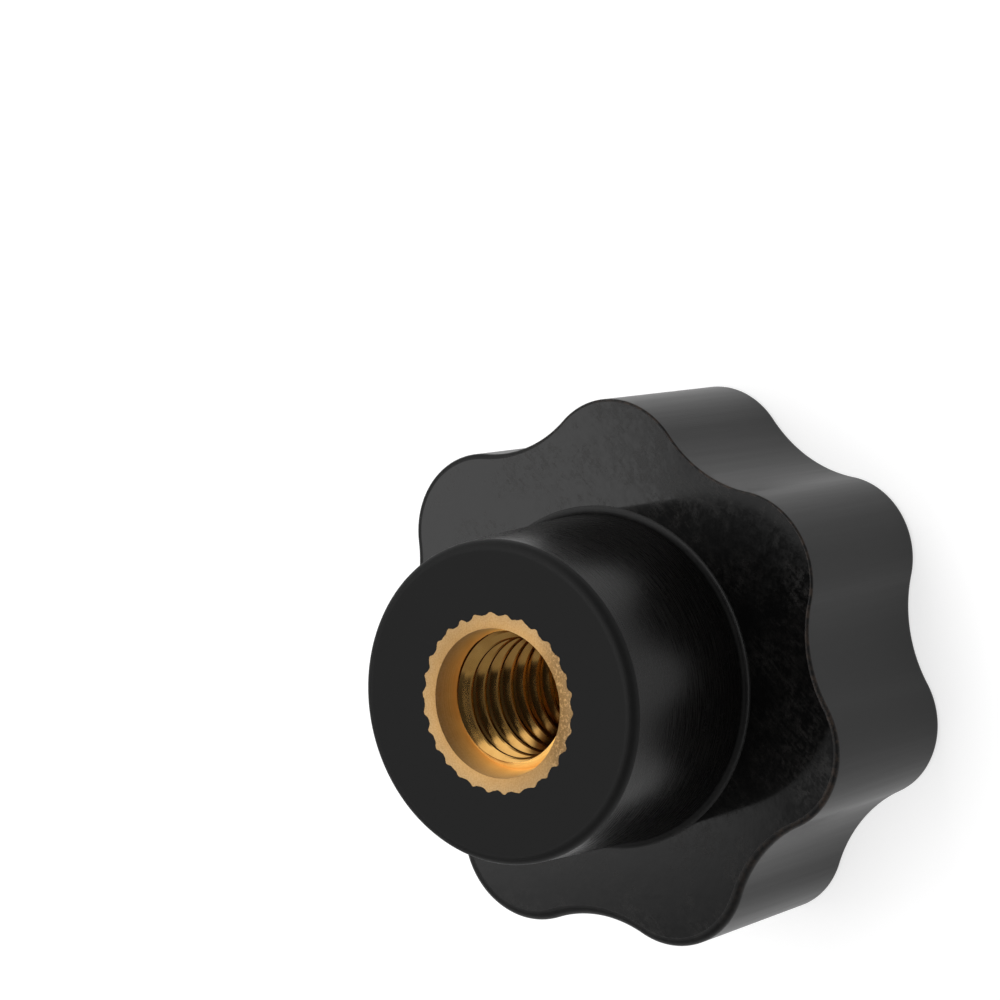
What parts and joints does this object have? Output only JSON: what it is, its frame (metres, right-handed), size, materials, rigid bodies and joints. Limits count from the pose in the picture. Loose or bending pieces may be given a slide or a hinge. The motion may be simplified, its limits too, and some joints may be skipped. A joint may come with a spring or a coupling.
{
  "type": "star knob",
  "caption": "Black lobed star knob with a round hub and a moulded-in knurled brass bush, tapped right through for an M6 stud.",
  "frame": {"origin": "centre of the head's flat top face, on the thread axis; the knob stands on that face", "axes": "+Z along the thread axis, out of the hub's mouth; +X through the tip of a lobe"},
  "size_m": [0.0234, 0.0238, 0.017],
  "materials": {
    "black_phenolic": "moulded gloss, scuffed on the flat under the head",
    "insert_brass": "turned and tapped"
  },
  "bodies": {
    "root": {"knob_body": "black_phenolic", "threaded_insert": "insert_brass"}
  },
  "joints": []
}
